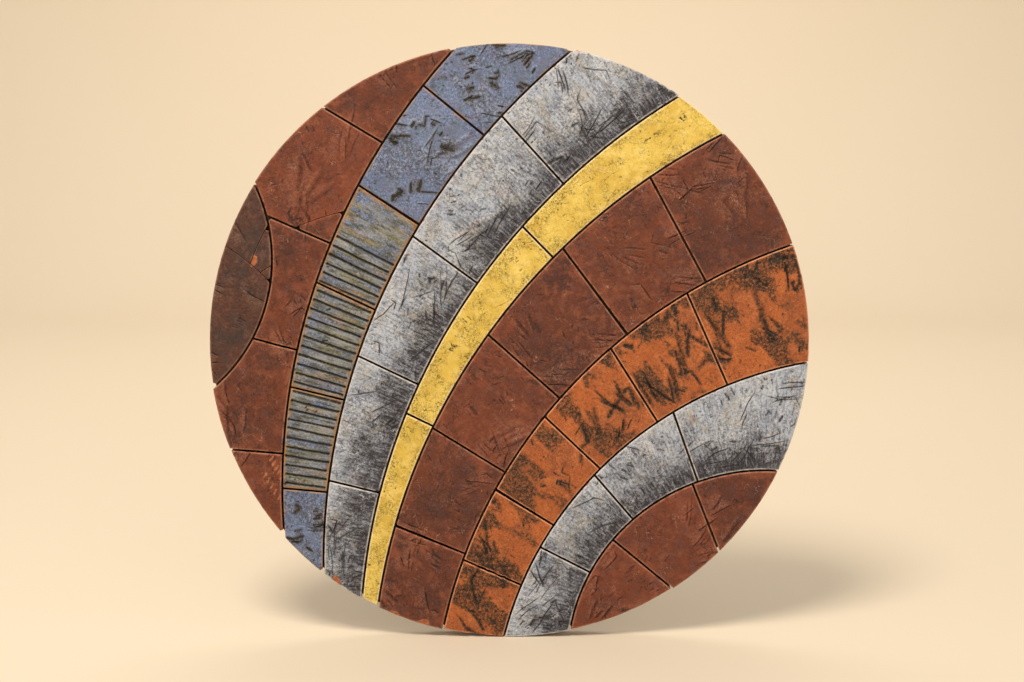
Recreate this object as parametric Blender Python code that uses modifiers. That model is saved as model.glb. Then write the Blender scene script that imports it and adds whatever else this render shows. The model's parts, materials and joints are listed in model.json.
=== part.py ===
"""A round wall tile: slab tiles of fired clay, cut by hand and set side by side on a round board.

It is modelled in metres with +Z up and stands as it hangs. Its face looks along -Y and its back lies in the
plane y = 0, with the origin at the centre of the back, where it meets the wall.

The tiles are laid out on the face as flat outlines. Each starts as the whole disc and is trimmed by the knife
cuts around it, which are arcs and straight lines, moved half a joint to the tile's own side.
"""

import math
import random
from collections import namedtuple

import bmesh
import bpy
from mathutils import Matrix

# Driving sizes, in metres
DISC_DIAMETER = 0.600       # across the tiles that reach furthest
TILE_THICKNESS = 0.012
BOARD_THICKNESS = 0.012
BOARD_SETBACK = 0.0016      # from the rim of the tiles in to the edge of the board
GLUE_GAP = 0.0003           # between the board and the backs of the tiles
JOINT_WIDTH = 0.0020        # open joint between two tiles
CRACK_WIDTH = 0.0006        # crack between two fragments of one tile
ARRIS_RADIUS = 0.0013       # rounding of the front edges, done with a wet finger
CRACK_ARRIS = 0.0003        # wear of the front edges along a crack
RIM_STEP = 0.0012           # most that a tile's rim stands back from its neighbours'
POINT_WIDTH = 0.003         # a pointed corner is blunted where the clay is this narrow
RIB_PITCH = 0.0087          # from one groove of a ribbed tile to the next
GROOVE_WIDTH = 0.0030
GROOVE_DEPTH = 0.0015
LOST_CHIP_LENGTH = 0.011    # where the cracks of the dark tile meet
LOST_CHIP_WIDTH = 0.007
CHIP_DEPTH = 0.0028         # of every chip, below the face

# How closely the outlines and the round solids follow their arcs
SAGITTA = 0.00006           # most that a chord stands off its arc
SHORTEST_SIDE = 0.0008      # shorter sides of an outline are left out
POINTED = math.radians(55)  # corners sharper than this are blunted
CORNERED = math.radians(150)    # what is sharper than this is a corner and no point of an arc
ARRIS_SEGMENTS = 2
GROOVE_SIDES = 8
SAME_PLACE = 1e-6           # points this close are one

# How the knife wandered
CUT_LEAN = math.radians(2.0)
SEED = 11

# The edges between the bands, from the lower right to the upper left. Each is an arc that starts and ends at
# a bearing on the rim, in degrees from +X towards +Z, and bows to its left by a share of its chord.
Edge = namedtuple("Edge", "start end bow")
EDGES = (
    Edge(282.0, 335.0, 0.194),
    Edge(269.0, 357.0, 0.149),
    Edge(257.0, 20.0, 0.133),
    Edge(243.5, 45.0, 0.122),
    Edge(240.0, 56.0, 0.120),
    Edge(231.0, 78.0, 0.114),
    Edge(220.5, 100.0, 0.103),
    Edge(188.0, 147.0, -0.170),
)

# The bands between those edges, with the places of the cuts across them as shares of the edge they start from
Band = namedtuple("Band", "name glaze cuts")
BANDS = (
    Band("lower_brown", "brown", (0.36, 0.70)),
    Band("lower_grey", "grey", (0.22, 0.46, 0.72)),
    Band("orange", "orange", (0.13, 0.29, 0.46, 0.63, 0.81)),
    Band("middle_brown", "brown", (0.15, 0.32, 0.49, 0.66, 0.83)),
    Band("yellow", "yellow", (0.32, 0.66)),
    Band("upper_grey", "grey", (0.18, 0.37, 0.56, 0.77)),
    Band("blue", "blue", (0.14, 0.30, 0.46, 0.62, 0.80)),
    Band("upper_brown", "brown", (0.16, 0.36, 0.57, 0.78)),
    Band("dark_rim", "dark", ()),
)

# The share of each ribbed tile's length that is ribbed
RIBBED = {"blue_tile_2": 1.0, "blue_tile_3": 1.0, "blue_tile_4": 0.55}

# The breaks. Each crack runs between two places, given as a bearing and a share of the disc's radius.
Crack = namedtuple("Crack", "start end bow")
RIM_CRACK = Crack((160.0, 1.02), (166.5, 0.79), 0.05)
TOP_CRACK = Crack((160.9, 0.900), (151.0, 0.890), 0.03)
SMALL_CRACK = Crack((163.9, 0.868), (160.8, 0.830), 0.03)
CORNER_CRACK = Crack((138.0, 0.685), (151.5, 0.82), -0.03)
LOST_CHIP = (161.2, 0.893)

# The chips along the lower rim, with their bearings and lengths
RimChip = namedtuple("RimChip", "bearing length")
RIM_CHIPS = (RimChip(234.0, 0.011), RimChip(247.0, 0.009), RimChip(253.0, 0.014), RimChip(265.0, 0.010))

# The fired colours, as sRGB hex values, and the roughness of each glaze
Glaze = namedtuple("Glaze", "colour roughness")
GLAZES = {
    "brown": Glaze("783E32", 0.55),
    "dark": Glaze("583E38", 0.55),
    "grey": Glaze("9698A0", 0.60),
    "yellow": Glaze("E2BE54", 0.55),
    "orange": Glaze("BE5A32", 0.60),
    "blue": Glaze("788CAF", 0.60),
    "board": Glaze("3A2C22", 0.85),
}

# Values that follow from the sizes
DISC_RADIUS = DISC_DIAMETER / 2
TILE_BACK = -(BOARD_THICKNESS + GLUE_GAP)
TILE_MIDDLE = TILE_BACK - TILE_THICKNESS / 2
TILE_FACE = TILE_BACK - TILE_THICKNESS
FACING = (math.pi / 2, 0.0, 0.0)    # turns what lies flat so that its top looks along -Y


# Cuts on the face. A point there is (x, z), and a cut keeps one of its sides.
Circle = namedtuple("Circle", "x z radius inside")
Line = namedtuple("Line", "x z dx dz")    # keeps what is on its left


def chord_for(radius):
    """The longest chord that stays within SAGITTA of an arc."""
    return math.sqrt(8 * radius * SAGITTA)


def polar(bearing, share=1.0):
    """A point at a bearing in degrees and a share of the disc's radius."""
    angle = math.radians(bearing)
    return (DISC_RADIUS * share * math.cos(angle), DISC_RADIUS * share * math.sin(angle))


def depth(cut, point):
    """How far a point is inside what the cut keeps."""
    if isinstance(cut, Line):
        return cut.dx * (point[1] - cut.z) - cut.dz * (point[0] - cut.x)
    inward = cut.radius - math.hypot(point[0] - cut.x, point[1] - cut.z)
    return inward if cut.inside else -inward


def crossing(cut, kept, lost):
    """The point between a kept and a lost point where the cut passes."""
    for _ in range(40):
        middle = ((kept[0] + lost[0]) / 2, (kept[1] + lost[1]) / 2)
        if depth(cut, middle) > 0:
            kept = middle
        else:
            lost = middle
    return kept


def travel(cut, start, end):
    """How far it is along the cut, with the kept side on the left."""
    if isinstance(cut, Line):
        return (end[0] - start[0]) * cut.dx + (end[1] - start[1]) * cut.dz
    first = math.atan2(start[1] - cut.z, start[0] - cut.x)
    last = math.atan2(end[1] - cut.z, end[0] - cut.x)
    turn = last - first if cut.inside else first - last
    return (turn % math.tau) * cut.radius


def between(cut, start, end):
    """The points of an outline that lie along the cut between two others."""
    if isinstance(cut, Line):
        return []
    length = travel(cut, start, end)
    count = max(1, math.ceil(length / chord_for(cut.radius)))
    first = math.atan2(start[1] - cut.z, start[0] - cut.x)
    step = length / cut.radius / count * (1 if cut.inside else -1)
    angles = [first + step * i for i in range(1, count)]
    return [(cut.x + cut.radius * math.cos(a), cut.z + cut.radius * math.sin(a)) for a in angles]


def area(outline):
    return sum(a[0] * b[1] - b[0] * a[1] for a, b in zip(outline, outline[1:] + outline[:1])) / 2


def without_short_sides(outline):
    kept = []
    for point in outline:
        if not kept or math.dist(point, kept[-1]) > SHORTEST_SIDE:
            kept.append(point)
    while len(kept) > 1 and math.dist(kept[0], kept[-1]) <= SHORTEST_SIDE:
        kept.pop()
    return kept


def kept_runs(outline, cut):
    """The stretches of an outline that the cut keeps, each from its entry to its exit."""
    kept = [depth(cut, point) > 0 for point in outline]
    count = len(outline)
    runs = []
    for entry in range(count):
        if not kept[entry] or kept[entry - 1]:
            continue
        run = [crossing(cut, outline[entry], outline[entry - 1])]
        i = entry
        while kept[i]:
            run.append(outline[i])
            i = (i + 1) % count
        run.append(crossing(cut, outline[i - 1], outline[i]))
        runs.append(run)
    return runs


def trim(outline, cut):
    """The largest piece that the cut leaves of an outline."""
    runs = kept_runs(outline, cut)
    if not runs:
        return outline if depth(cut, outline[0]) > 0 else []
    loops = []
    while runs:
        loop = runs.pop(0)
        start = loop[0]
        while True:
            end = loop[-1]
            entries = [start] + [run[0] for run in runs]
            onward = [entry for entry in entries if travel(cut, end, entry) > 0]
            entry = min(onward, key=lambda point: travel(cut, end, point))
            loop += between(cut, end, entry)
            if entry == start:
                break
            run = next(run for run in runs if run[0] == entry)
            runs.remove(run)
            loop += run
        loops.append(loop)
    return without_short_sides(max(loops, key=area))


def corner(outline, i):
    """The angle of a corner and the direction into the clay from it."""
    before, here, after = outline[i - 1], outline[i], outline[(i + 1) % len(outline)]
    back = ((before[0] - here[0]) / math.dist(before, here), (before[1] - here[1]) / math.dist(before, here))
    on = ((after[0] - here[0]) / math.dist(after, here), (after[1] - here[1]) / math.dist(after, here))
    angle = math.atan2(on[0] * back[1] - on[1] * back[0], on[0] * back[0] + on[1] * back[1]) % math.tau
    middle = (on[0] + back[0], on[1] + back[1])
    size = math.hypot(*middle) or 1.0
    return angle, (middle[0] / size, middle[1] / size)


def blunted(outline):
    """The outline with its pointed corners cut off where they are POINT_WIDTH wide."""
    for i in range(len(outline)):
        angle, (into_x, into_z) = corner(outline, i)
        if angle < POINTED:
            back = POINT_WIDTH / 2 / math.tan(angle / 2)
            x, z = outline[i]
            return blunted(trim(outline, Line(x + into_x * back, z + into_z * back, into_z, -into_x)))
    return outline


def roundable(outline):
    """The outline without the points of its arcs that the rounding of a corner beside them would run over."""
    count = len(outline)
    for i in range(count):
        angle = corner(outline, i)[0]
        taken = ARRIS_RADIUS / math.tan(angle / 2) + SAME_PLACE if angle < CORNERED else 0.0
        for j in ((i - 1) % count, (i + 1) % count):
            if math.dist(outline[i], outline[j]) < taken and corner(outline, j)[0] > CORNERED:
                return roundable(outline[:j] + outline[j + 1:])
    return outline


# Arcs and straight cuts, and the two sides of each
Arc = namedtuple("Arc", "x z radius first turn")


def arc_between(start, end, bow):
    """The arc between two points that bows to the left of its way by a share of its chord."""
    chord = math.dist(start, end)
    sagitta = abs(bow) * chord
    radius = (chord * chord / 4 + sagitta * sagitta) / (2 * sagitta)
    side = -math.copysign(radius - sagitta, bow) / chord
    x = (start[0] + end[0]) / 2 - (end[1] - start[1]) * side
    z = (start[1] + end[1]) / 2 + (end[0] - start[0]) * side
    turn = -math.copysign(2 * math.asin(chord / 2 / radius), bow)
    return Arc(x, z, radius, math.atan2(start[1] - z, start[0] - x), turn)


def beside(arc, left, gap):
    """The cut that keeps the left or the right side of an arc, a gap away from it."""
    inside = (arc.turn < 0) != left
    return Circle(arc.x, arc.z, arc.radius - gap if inside else arc.radius + gap, inside)


def along(arc, share, lean=0.0):
    """The point at a share of an arc, and the way that the arc runs there."""
    angle = arc.first + arc.turn * share
    x = arc.x + arc.radius * math.cos(angle)
    z = arc.z + arc.radius * math.sin(angle)
    way = angle + math.copysign(math.pi / 2, arc.turn) + lean
    return (x, z), (math.cos(way), math.sin(way))


def ahead(cut, gap):
    """Keeps what lies on along the band from a cut across it."""
    (x, z), (way_x, way_z) = cut
    return Line(x + way_x * gap, z + way_z * gap, way_z, -way_x)


def behind(cut, gap):
    """Keeps what lies back along the band from a cut across it."""
    (x, z), (way_x, way_z) = cut
    return Line(x - way_x * gap, z - way_z * gap, -way_z, way_x)


# Solids
def linear_colour(hex_value):
    parts = [int(hex_value[i:i + 2], 16) / 255 for i in (0, 2, 4)]
    return [c / 12.92 if c <= 0.04045 else ((c + 0.055) / 1.055) ** 2.4 for c in parts] + [1.0]


def finish(obj, glaze):
    """Gives an object its own material and smooth shading between its sharp edges."""
    material = bpy.data.materials.new(obj.name)
    material.use_nodes = True
    shader = material.node_tree.nodes["Principled BSDF"]
    shader.inputs["Base Color"].default_value = linear_colour(GLAZES[glaze].colour)
    shader.inputs["Roughness"].default_value = GLAZES[glaze].roughness
    shader.inputs["Metallic"].default_value = 0.0
    obj.data.materials.clear()
    obj.data.materials.append(material)
    obj.data.shade_smooth()
    obj.data.set_sharp_from_angle(angle=math.radians(30))


def extruded(name, outline, thickness):
    """A flat outline as a mesh of a thickness, with its middle in its own plane z = 0."""
    curve = bpy.data.curves.new(name, "CURVE")
    curve.dimensions = "2D"
    curve.fill_mode = "BOTH"
    curve.extrude = thickness / 2
    spline = curve.splines.new("POLY")
    spline.points.add(len(outline) - 1)
    for point, (x, z) in zip(spline.points, outline):
        point.co = (x, z, 0.0, 1.0)
    spline.use_cyclic_u = True
    drawn = bpy.data.objects.new(name + "_outline", curve)
    bpy.context.scene.collection.objects.link(drawn)
    mesh = bpy.data.meshes.new_from_object(drawn.evaluated_get(bpy.context.evaluated_depsgraph_get()))
    bpy.data.objects.remove(drawn)
    bpy.data.curves.remove(curve)
    mesh.name = name
    return mesh


def tile(name, outline, glaze, home, cracks=()):
    """A tile or a fragment of one, with its front edges rounded, less along its cracks."""
    mesh = extruded(name, roundable(blunted(outline)), TILE_THICKNESS)
    form = bmesh.new()
    form.from_mesh(mesh)
    bmesh.ops.remove_doubles(form, verts=form.verts, dist=SAME_PLACE)
    bmesh.ops.dissolve_limit(form, angle_limit=math.radians(0.2), verts=form.verts, edges=form.edges)
    bmesh.ops.recalc_face_normals(form, faces=form.faces)
    weight = form.edges.layers.float.new("bevel_weight_edge")
    for edge in form.edges:
        if min(vert.co.z for vert in edge.verts) > TILE_THICKNESS / 4:
            ends = [(vert.co.x, vert.co.y) for vert in edge.verts]
            cracked = any(max(abs(depth(cut, end)) for end in ends) < CRACK_WIDTH / 4 for cut in cracks)
            edge[weight] = CRACK_ARRIS / ARRIS_RADIUS if cracked else 1.0
    form.to_mesh(mesh)
    form.free()
    obj = bpy.data.objects.new(name, mesh)
    obj.location = (0.0, TILE_MIDDLE, 0.0)
    obj.rotation_euler = FACING
    home.objects.link(obj)
    arris = obj.modifiers.new("arris", "BEVEL")
    arris.limit_method = "WEIGHT"
    arris.width = ARRIS_RADIUS
    arris.segments = ARRIS_SEGMENTS
    finish(obj, glaze)
    return obj


def cutter(name, form, home):
    """A hidden object that only cuts."""
    mesh = bpy.data.meshes.new(name)
    form.to_mesh(mesh)
    form.free()
    obj = bpy.data.objects.new(name, mesh)
    obj.hide_render = True
    obj.display_type = "WIRE"
    home.objects.link(obj)
    return obj


def cut_out(obj, tool):
    """Takes a cutter's shape out of an object."""
    cut = obj.modifiers.new(tool.name, "BOOLEAN")
    cut.operation = "DIFFERENCE"
    cut.solver = "EXACT"
    cut.object = tool


def grooves(name, arc, first, last, reach, home):
    """Round-bottomed grooves straight across a band, at RIB_PITCH between two shares of its edge."""
    radius = (GROOVE_WIDTH * GROOVE_WIDTH / 4 + GROOVE_DEPTH * GROOVE_DEPTH) / (2 * GROOVE_DEPTH)
    axis_y = TILE_FACE + GROOVE_DEPTH - radius
    length = abs(arc.turn) * arc.radius * (last - first)
    count = max(1, round((length - JOINT_WIDTH) / RIB_PITCH))
    form = bmesh.new()
    for i in range(count):
        (x, z), (way_x, way_z) = along(arc, first + (last - first) * (i + 0.5) / count)
        turn = math.atan2(way_z, way_x)
        place = Matrix.Translation((x, axis_y, z)) @ Matrix.Rotation(-turn, 4, "Y")
        bmesh.ops.create_cone(form, cap_ends=True, segments=GROOVE_SIDES, radius1=radius, radius2=radius,
                              depth=2 * reach, matrix=place)
    return cutter(name, form, home)


def chip(name, bearing, share, length, width, home):
    """A shallow faceted bite out of the face, longer along the rim than across it."""
    x, z = polar(bearing, share)
    turned = Matrix.Translation((x, TILE_FACE, z)) @ Matrix.Rotation(-math.radians(bearing + 90), 4, "Y")
    form = bmesh.new()
    bmesh.ops.create_icosphere(form, subdivisions=1, radius=1.0,
                               matrix=turned @ Matrix.Diagonal((length / 2, CHIP_DEPTH, width / 2, 1.0)))
    return cutter(name, form, home)


def board(home):
    """The round board that carries the tiles."""
    radius = DISC_RADIUS - BOARD_SETBACK
    sides = math.ceil(math.tau * radius / chord_for(radius))
    bpy.ops.mesh.primitive_cylinder_add(vertices=sides, radius=radius, depth=BOARD_THICKNESS,
                                        location=(0.0, -BOARD_THICKNESS / 2, 0.0), rotation=FACING)
    obj = bpy.context.object
    obj.name = obj.data.name = "backing_board"
    for collection in list(obj.users_collection):
        collection.objects.unlink(obj)
    home.objects.link(obj)
    finish(obj, "board")
    return obj


# Laying out
def rim_outline(step):
    """The whole disc, a step smaller."""
    radius = DISC_RADIUS - step
    count = math.ceil(math.tau * radius / chord_for(radius))
    angles = [math.tau * i / count for i in range(count)]
    return [(radius * math.cos(a), radius * math.sin(a)) for a in angles]


def band_tiles(number, arcs, wander):
    """The outlines of one band's tiles, each with the shares of the band's edge that it lies between."""
    band = BANDS[number]
    reference = arcs[max(number - 1, 0)]
    cuts = [along(reference, share, wander.uniform(-CUT_LEAN, CUT_LEAN)) for share in band.cuts]
    shares = (0.0, *band.cuts, 1.0)
    for i in range(len(cuts) + 1):
        outline = rim_outline(RIM_STEP * max(0.0, wander.uniform(-1.0, 1.0)))
        if number > 0:
            outline = trim(outline, beside(arcs[number - 1], True, JOINT_WIDTH / 2))
        if number < len(arcs):
            outline = trim(outline, beside(arcs[number], False, JOINT_WIDTH / 2))
        if i > 0:
            outline = trim(outline, ahead(cuts[i - 1], JOINT_WIDTH / 2))
        if i < len(cuts):
            outline = trim(outline, behind(cuts[i], JOINT_WIDTH / 2))
        yield f"{band.name}_tile_{i + 1}", outline, shares[i], shares[i + 1]


def crack_sides(crack):
    """The two cuts of a crack: what lies on its left, and on its right."""
    arc = arc_between(polar(*crack.start), polar(*crack.end), crack.bow)
    return beside(arc, True, CRACK_WIDTH / 2), beside(arc, False, CRACK_WIDTH / 2)


def broken_dark_tile(outline, home, cutters):
    """The dark tile at the rim, in four fragments, with a chip lost where its cracks meet."""
    above, below = crack_sides(RIM_CRACK)
    outer, inner = crack_sides(TOP_CRACK)
    rest, corner_side = crack_sides(SMALL_CRACK)
    cracks = (above, below, inner, outer, rest, corner_side)
    upper = trim(outline, above)
    beyond = trim(upper, inner)
    outlines = (trim(outline, below), trim(upper, outer), trim(beyond, rest), trim(beyond, corner_side))
    bite = chip("lost_chip", *LOST_CHIP, LOST_CHIP_LENGTH, LOST_CHIP_WIDTH, cutters)
    for i, fragment in enumerate(outlines):
        piece = tile(f"dark_rim_fragment_{i + 1}", fragment, "dark", home, cracks)
        if i < 3:
            cut_out(piece, bite)


def cornered_tile(name, outline, home):
    """A brown tile with one corner cracked off."""
    sides = crack_sides(CORNER_CRACK)
    pieces = sorted((trim(outline, side) for side in sides), key=area, reverse=True)
    for suffix, piece in zip(("", "_corner"), pieces):
        tile(name + suffix, piece, "brown", home, sides)


def build():
    for obj in list(bpy.data.objects):
        bpy.data.objects.remove(obj)
    home = bpy.data.collections.new("round_wall_tile")
    cutters = bpy.data.collections.new("cutters")
    bpy.context.scene.collection.children.link(home)
    bpy.context.scene.collection.children.link(cutters)

    wander = random.Random(SEED)
    arcs = [arc_between(polar(edge.start), polar(edge.end), edge.bow) for edge in EDGES]
    board(home)
    laid = {}
    for number, band in enumerate(BANDS):
        for name, outline, first, last in band_tiles(number, arcs, wander):
            if band.name == "dark_rim":
                broken_dark_tile(outline, home, cutters)
                continue
            if name == "upper_brown_tile_4":
                cornered_tile(name, outline, home)
                continue
            laid[name] = (outline, tile(name, outline, band.glaze, home))
            if name in RIBBED:
                end = first + (last - first) * RIBBED[name]
                reach = max(math.dist(a, b) for a in outline for b in outline)
                cut_out(laid[name][1], grooves(name + "_grooves", arcs[number - 1], first, end, reach, cutters))

    for i, rim_chip in enumerate(RIM_CHIPS):
        bite = chip(f"rim_chip_{i + 1}", rim_chip.bearing, 1.0, rim_chip.length, rim_chip.length, cutters)
        place = polar(rim_chip.bearing, 0.99)
        for outline, obj in laid.values():
            if min(math.dist(place, point) for point in outline) < DISC_RADIUS / 20:
                cut_out(obj, bite)


build()
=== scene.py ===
"""The looks of the round wall tile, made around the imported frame.

Each fired clay tile is built again as one closed mesh: its outline comes from the back of its own node, its
face is worked as a potter works a slab, and the marks run on over the joints because the slab was marked
before it was cut. The face is worked out in millimetres, as places (x, z) seen from the front and heights
above the slab.
"""

import json
import math
import random
from collections import namedtuple

import bmesh
import bpy
import numpy as np
from mathutils import Matrix, Vector
from mathutils.geometry import delaunay_2d_cdt


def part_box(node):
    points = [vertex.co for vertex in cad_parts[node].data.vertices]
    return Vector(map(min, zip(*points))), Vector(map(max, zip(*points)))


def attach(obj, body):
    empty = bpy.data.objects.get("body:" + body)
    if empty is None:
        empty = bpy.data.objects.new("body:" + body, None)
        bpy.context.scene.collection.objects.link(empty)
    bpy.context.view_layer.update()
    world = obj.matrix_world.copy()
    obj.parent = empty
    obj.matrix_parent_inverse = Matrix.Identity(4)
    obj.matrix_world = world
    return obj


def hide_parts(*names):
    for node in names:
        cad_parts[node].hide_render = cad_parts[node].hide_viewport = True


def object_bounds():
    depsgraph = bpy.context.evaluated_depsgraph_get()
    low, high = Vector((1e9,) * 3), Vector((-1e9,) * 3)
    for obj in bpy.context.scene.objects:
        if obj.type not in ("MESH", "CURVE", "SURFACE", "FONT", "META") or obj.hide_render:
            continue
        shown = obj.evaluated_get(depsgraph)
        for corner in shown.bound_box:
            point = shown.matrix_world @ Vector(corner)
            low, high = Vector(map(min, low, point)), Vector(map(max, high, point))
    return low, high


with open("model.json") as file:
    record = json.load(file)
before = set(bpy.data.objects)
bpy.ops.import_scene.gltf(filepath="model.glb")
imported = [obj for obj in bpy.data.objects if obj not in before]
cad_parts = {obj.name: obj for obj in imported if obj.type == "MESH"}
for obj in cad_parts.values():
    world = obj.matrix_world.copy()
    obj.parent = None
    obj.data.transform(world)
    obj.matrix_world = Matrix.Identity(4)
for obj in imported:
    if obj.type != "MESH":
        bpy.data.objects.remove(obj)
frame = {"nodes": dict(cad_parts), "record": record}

cad_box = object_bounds()

MM = 0.001

# The disc and its slabs, in millimetres
DISC_RADIUS = 300.0
FACE = 24.3                 # how far the highest clay stands out from the wall
BACK = 12.3                 # the backs of the tiles
BOARD_EASE = 0.6            # what is taken off the board's sharp edges
PLY = 1.7                   # one layer of the board
SLAB_LEVEL = 0.95           # the slabs' middle level, below the highest clay
HIGHEST = 0.03              # no clay comes closer than this to the highest level
ARRIS = 0.85                # rounding of a cut edge, done with a wet finger
CRACK_ARRIS = 0.35          # the same along a crack
CORNER_WEAR = 0.12          # how much of a corner is worn off
CRACK_REACH = 1.1           # two fragments of one tile lie closer together than this
JOINT = 2.0
OUTER_SIDE = 3.5            # a side this close to the disc's rim faces outwards, and no joint
SIDE_ROWS = (0.10, 0.45, 1.0)    # shares of the way down a cut side
SIDE_TEAR = 0.12            # how far the knife tore into a side

# How uneven the clay is, in millimetres: how high, and how far across
Rough = namedtuple("Rough", "height across")
SWELLS = Rough(0.32, 46.0)
DENTS = Rough(0.20, 14.0)
RIPPLES = Rough(0.07, 4.6)
EDGE_FALL = Rough(0.30, 5.0)     # the face falls towards a cut edge
CREASES = Rough(0.22, 24.0)
NICKS = Rough(0.5, 5.5)          # crumbs lost along a cut edge
MARGIN = 8.0                # how far in the looks of a tile's edge reach
SUNK = 0.22                 # most that a tile is set back from its neighbours
LEAN = 0.0035               # most that it leans

# How finely the clay is meshed, in millimetres
BORDER_STEP = 0.8
FIELD_STEP = 1.34           # of the open face
TORN_STEP = 0.92            # where the face is torn and pitted
MARK_STEP = 0.75            # along a tool mark
MARK_ROWS = (0.0, -0.7, 0.7, -1.4, 1.4, 2.2)    # beside a tool mark, in widths of the mark
CHIP_STEP = 0.55
CROWDED = 0.52              # points of the face keep about this far apart
RIM_GAP = 1.4               # between the rounded edge and the open face

# The knife cuts between the bands of tiles: bearings of their ends on the rim in degrees, and how far they
# bow to their left as a share of the chord
Cut = namedtuple("Cut", "start end bow")
CUTS = (
    Cut(282.0, 335.0, 0.194),
    Cut(269.0, 357.0, 0.149),
    Cut(257.0, 20.0, 0.133),
    Cut(243.5, 45.0, 0.122),
    Cut(240.0, 56.0, 0.120),
    Cut(231.0, 78.0, 0.114),
    Cut(220.5, 100.0, 0.103),
    Cut(188.0, 147.0, -0.170),
)
# The bands in order, each to the left of the cut before it
BANDS = ("lower_brown", "lower_grey", "orange", "middle_brown", "yellow", "upper_grey", "blue",
         "upper_brown", "dark_rim")

# The ribs run across the blue band between two shares of its right-hand cut
RIB_PITCH = 8.7
RIB_GROOVE = 3.0
RIB_DEPTH = 1.45
RIB_STOP = (1.6, 3.6)       # how far a groove stops short of the joint
RIBBED = {"blue_tile_2": (0.14, 0.30), "blue_tile_3": (0.30, 0.46), "blue_tile_4": (0.46, 0.548)}

# Chips that show the raw clay: bearing in degrees, share of the radius, length along the rim, width
Chip = namedtuple("Chip", "bearing share length width")
CHIP_DEPTH = 2.6
CHIP_NEAR = 8.0             # a chip whose middle is this close to a tile reaches into it
LOST_CHIP = Chip(161.2, 0.893, 10.5, 6.5)
RIM_CHIPS = (Chip(234.0, 1.0, 11.0, 11.0), Chip(247.0, 1.0, 9.0, 9.0), Chip(253.0, 1.0, 14.0, 14.0),
             Chip(265.0, 1.0, 10.0, 10.0))

# Rows of short scratched strokes: share of the radius, the bearings they run between, and how many
# there are
TALLY_TILE = "upper_brown_tile_1"
TALLY_ROWS = ((0.885, 205.5, 214.5, 9), (0.930, 208.0, 214.8, 6))
TALLY_STROKE = 8.0
TALLY_WIDTH = 0.70
TALLY_DEPTH = 0.60

# What the tools did to each glaze's clay, in millimetres and in marks per square decimetre
Work = namedtuple("Work", "number length width depth lip fold stain")
WORK = {
    "brown": (
        Work(1.6, (25, 60), (1.6, 2.8), 0.35, 0.35, 0.70, 0.25),
        Work(13.0, (10, 40), (0.50, 0.95), 0.60, 0.22, 0.55, 0.50),
        Work(16.0, (3, 11), (0.55, 0.95), 0.50, 0.16, 0.10, 0.85),
        Work(2.2, (12, 28), (1.1, 1.9), 0.80, 0.35, 0.30, 0.60),
        Work(14.0, (0.6, 1.6), (0.4, 0.8), 0.45, 0.0, 0.0, 0.7),
    ),
    "dark_brown": (
        Work(12.0, (12, 36), (0.50, 0.95), 0.60, 0.20, 0.50, 0.50),
        Work(14.0, (3, 9), (0.55, 0.9), 0.45, 0.14, 0.05, 0.80),
        Work(12.0, (0.6, 1.4), (0.4, 0.7), 0.40, 0.0, 0.0, 0.7),
    ),
    "grey": (
        Work(2.0, (25, 55), (1.4, 2.4), 0.40, 0.35, 0.60, 0.40),
        Work(19.0, (10, 48), (0.45, 0.90), 0.70, 0.15, 0.20, 1.00),
        Work(11.0, (3, 13), (0.7, 1.5), 0.70, 0.25, 0.10, 0.95),
        Work(44.0, (0.6, 1.8), (0.4, 0.9), 0.50, 0.0, 0.0, 1.0),
    ),
    "yellow": (
        Work(8.0, (3, 9), (0.6, 1.2), 0.55, 0.15, 0.0, 0.95),
        Work(4.0, (10, 26), (0.40, 0.65), 0.35, 0.08, 0.15, 0.55),
        Work(60.0, (0.5, 1.5), (0.4, 0.8), 0.40, 0.0, 0.0, 0.9),
    ),
    "orange": (
        Work(3.5, (25, 60), (1.8, 3.2), 0.80, 0.50, 0.75, 0.80),
        Work(15.0, (12, 50), (1.1, 2.8), 1.10, 0.50, 0.30, 1.00),
        Work(16.0, (4, 16), (0.6, 1.3), 0.60, 0.20, 0.10, 1.00),
        Work(36.0, (0.6, 2.0), (0.4, 0.9), 0.45, 0.0, 0.0, 0.95),
    ),
    "blue": (
        Work(2.0, (20, 50), (1.4, 2.4), 0.40, 0.35, 0.55, 0.40),
        Work(32.0, (4, 19), (0.7, 2.0), 0.75, 0.28, 0.10, 1.00),
        Work(10.0, (14, 40), (0.50, 0.9), 0.55, 0.16, 0.20, 0.90),
        Work(46.0, (0.6, 1.8), (0.4, 0.9), 0.45, 0.0, 0.0, 1.0),
    ),
    "ribbed_blue": (
        Work(6.0, (3, 9), (0.6, 1.1), 0.40, 0.12, 0.0, 0.9),
        Work(16.0, (0.6, 1.8), (0.4, 0.8), 0.35, 0.0, 0.0, 0.9),
    ),
}
# Where each glaze's clay is torn and pitted: how much of it, from -1 to 1, and the pits' size and depth
Torn = namedtuple("Torn", "spread size depth")
TORN = {
    "brown": Torn(-0.12, 5.5, 0.26),
    "dark_brown": Torn(-0.02, 5.5, 0.26),
    "grey": Torn(-0.02, 5.0, 0.34),
    "yellow": Torn(-0.12, 4.6, 0.20),
    "orange": Torn(0.03, 5.2, 0.62),
    "blue": Torn(0.0, 5.0, 0.38),
    "ribbed_blue": Torn(-0.15, 4.6, 0.18),
}
HALO = 1.6                  # how far dark stain is rubbed out of a mark, in widths of the mark and 1 mm
FOLD_REACH = 6.5            # how far a fold's raised side runs out
LIP = (1.9, 0.75)           # how far a mark's lip is from its middle and how broad, in widths of the mark
TAPER = (0.18, 0.3)         # shares of a mark's length over which it starts and ends
FAMILY = (1, 1, 2, 3, 4)    # how many marks may run side by side
FAMILY_GAP = (2.5, 6.5)     # between them
HOOK_CHANCE = 0.25
HOOKED_LENGTH = 8           # only a mark longer than this ends in a hook
SEED = 7


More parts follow.
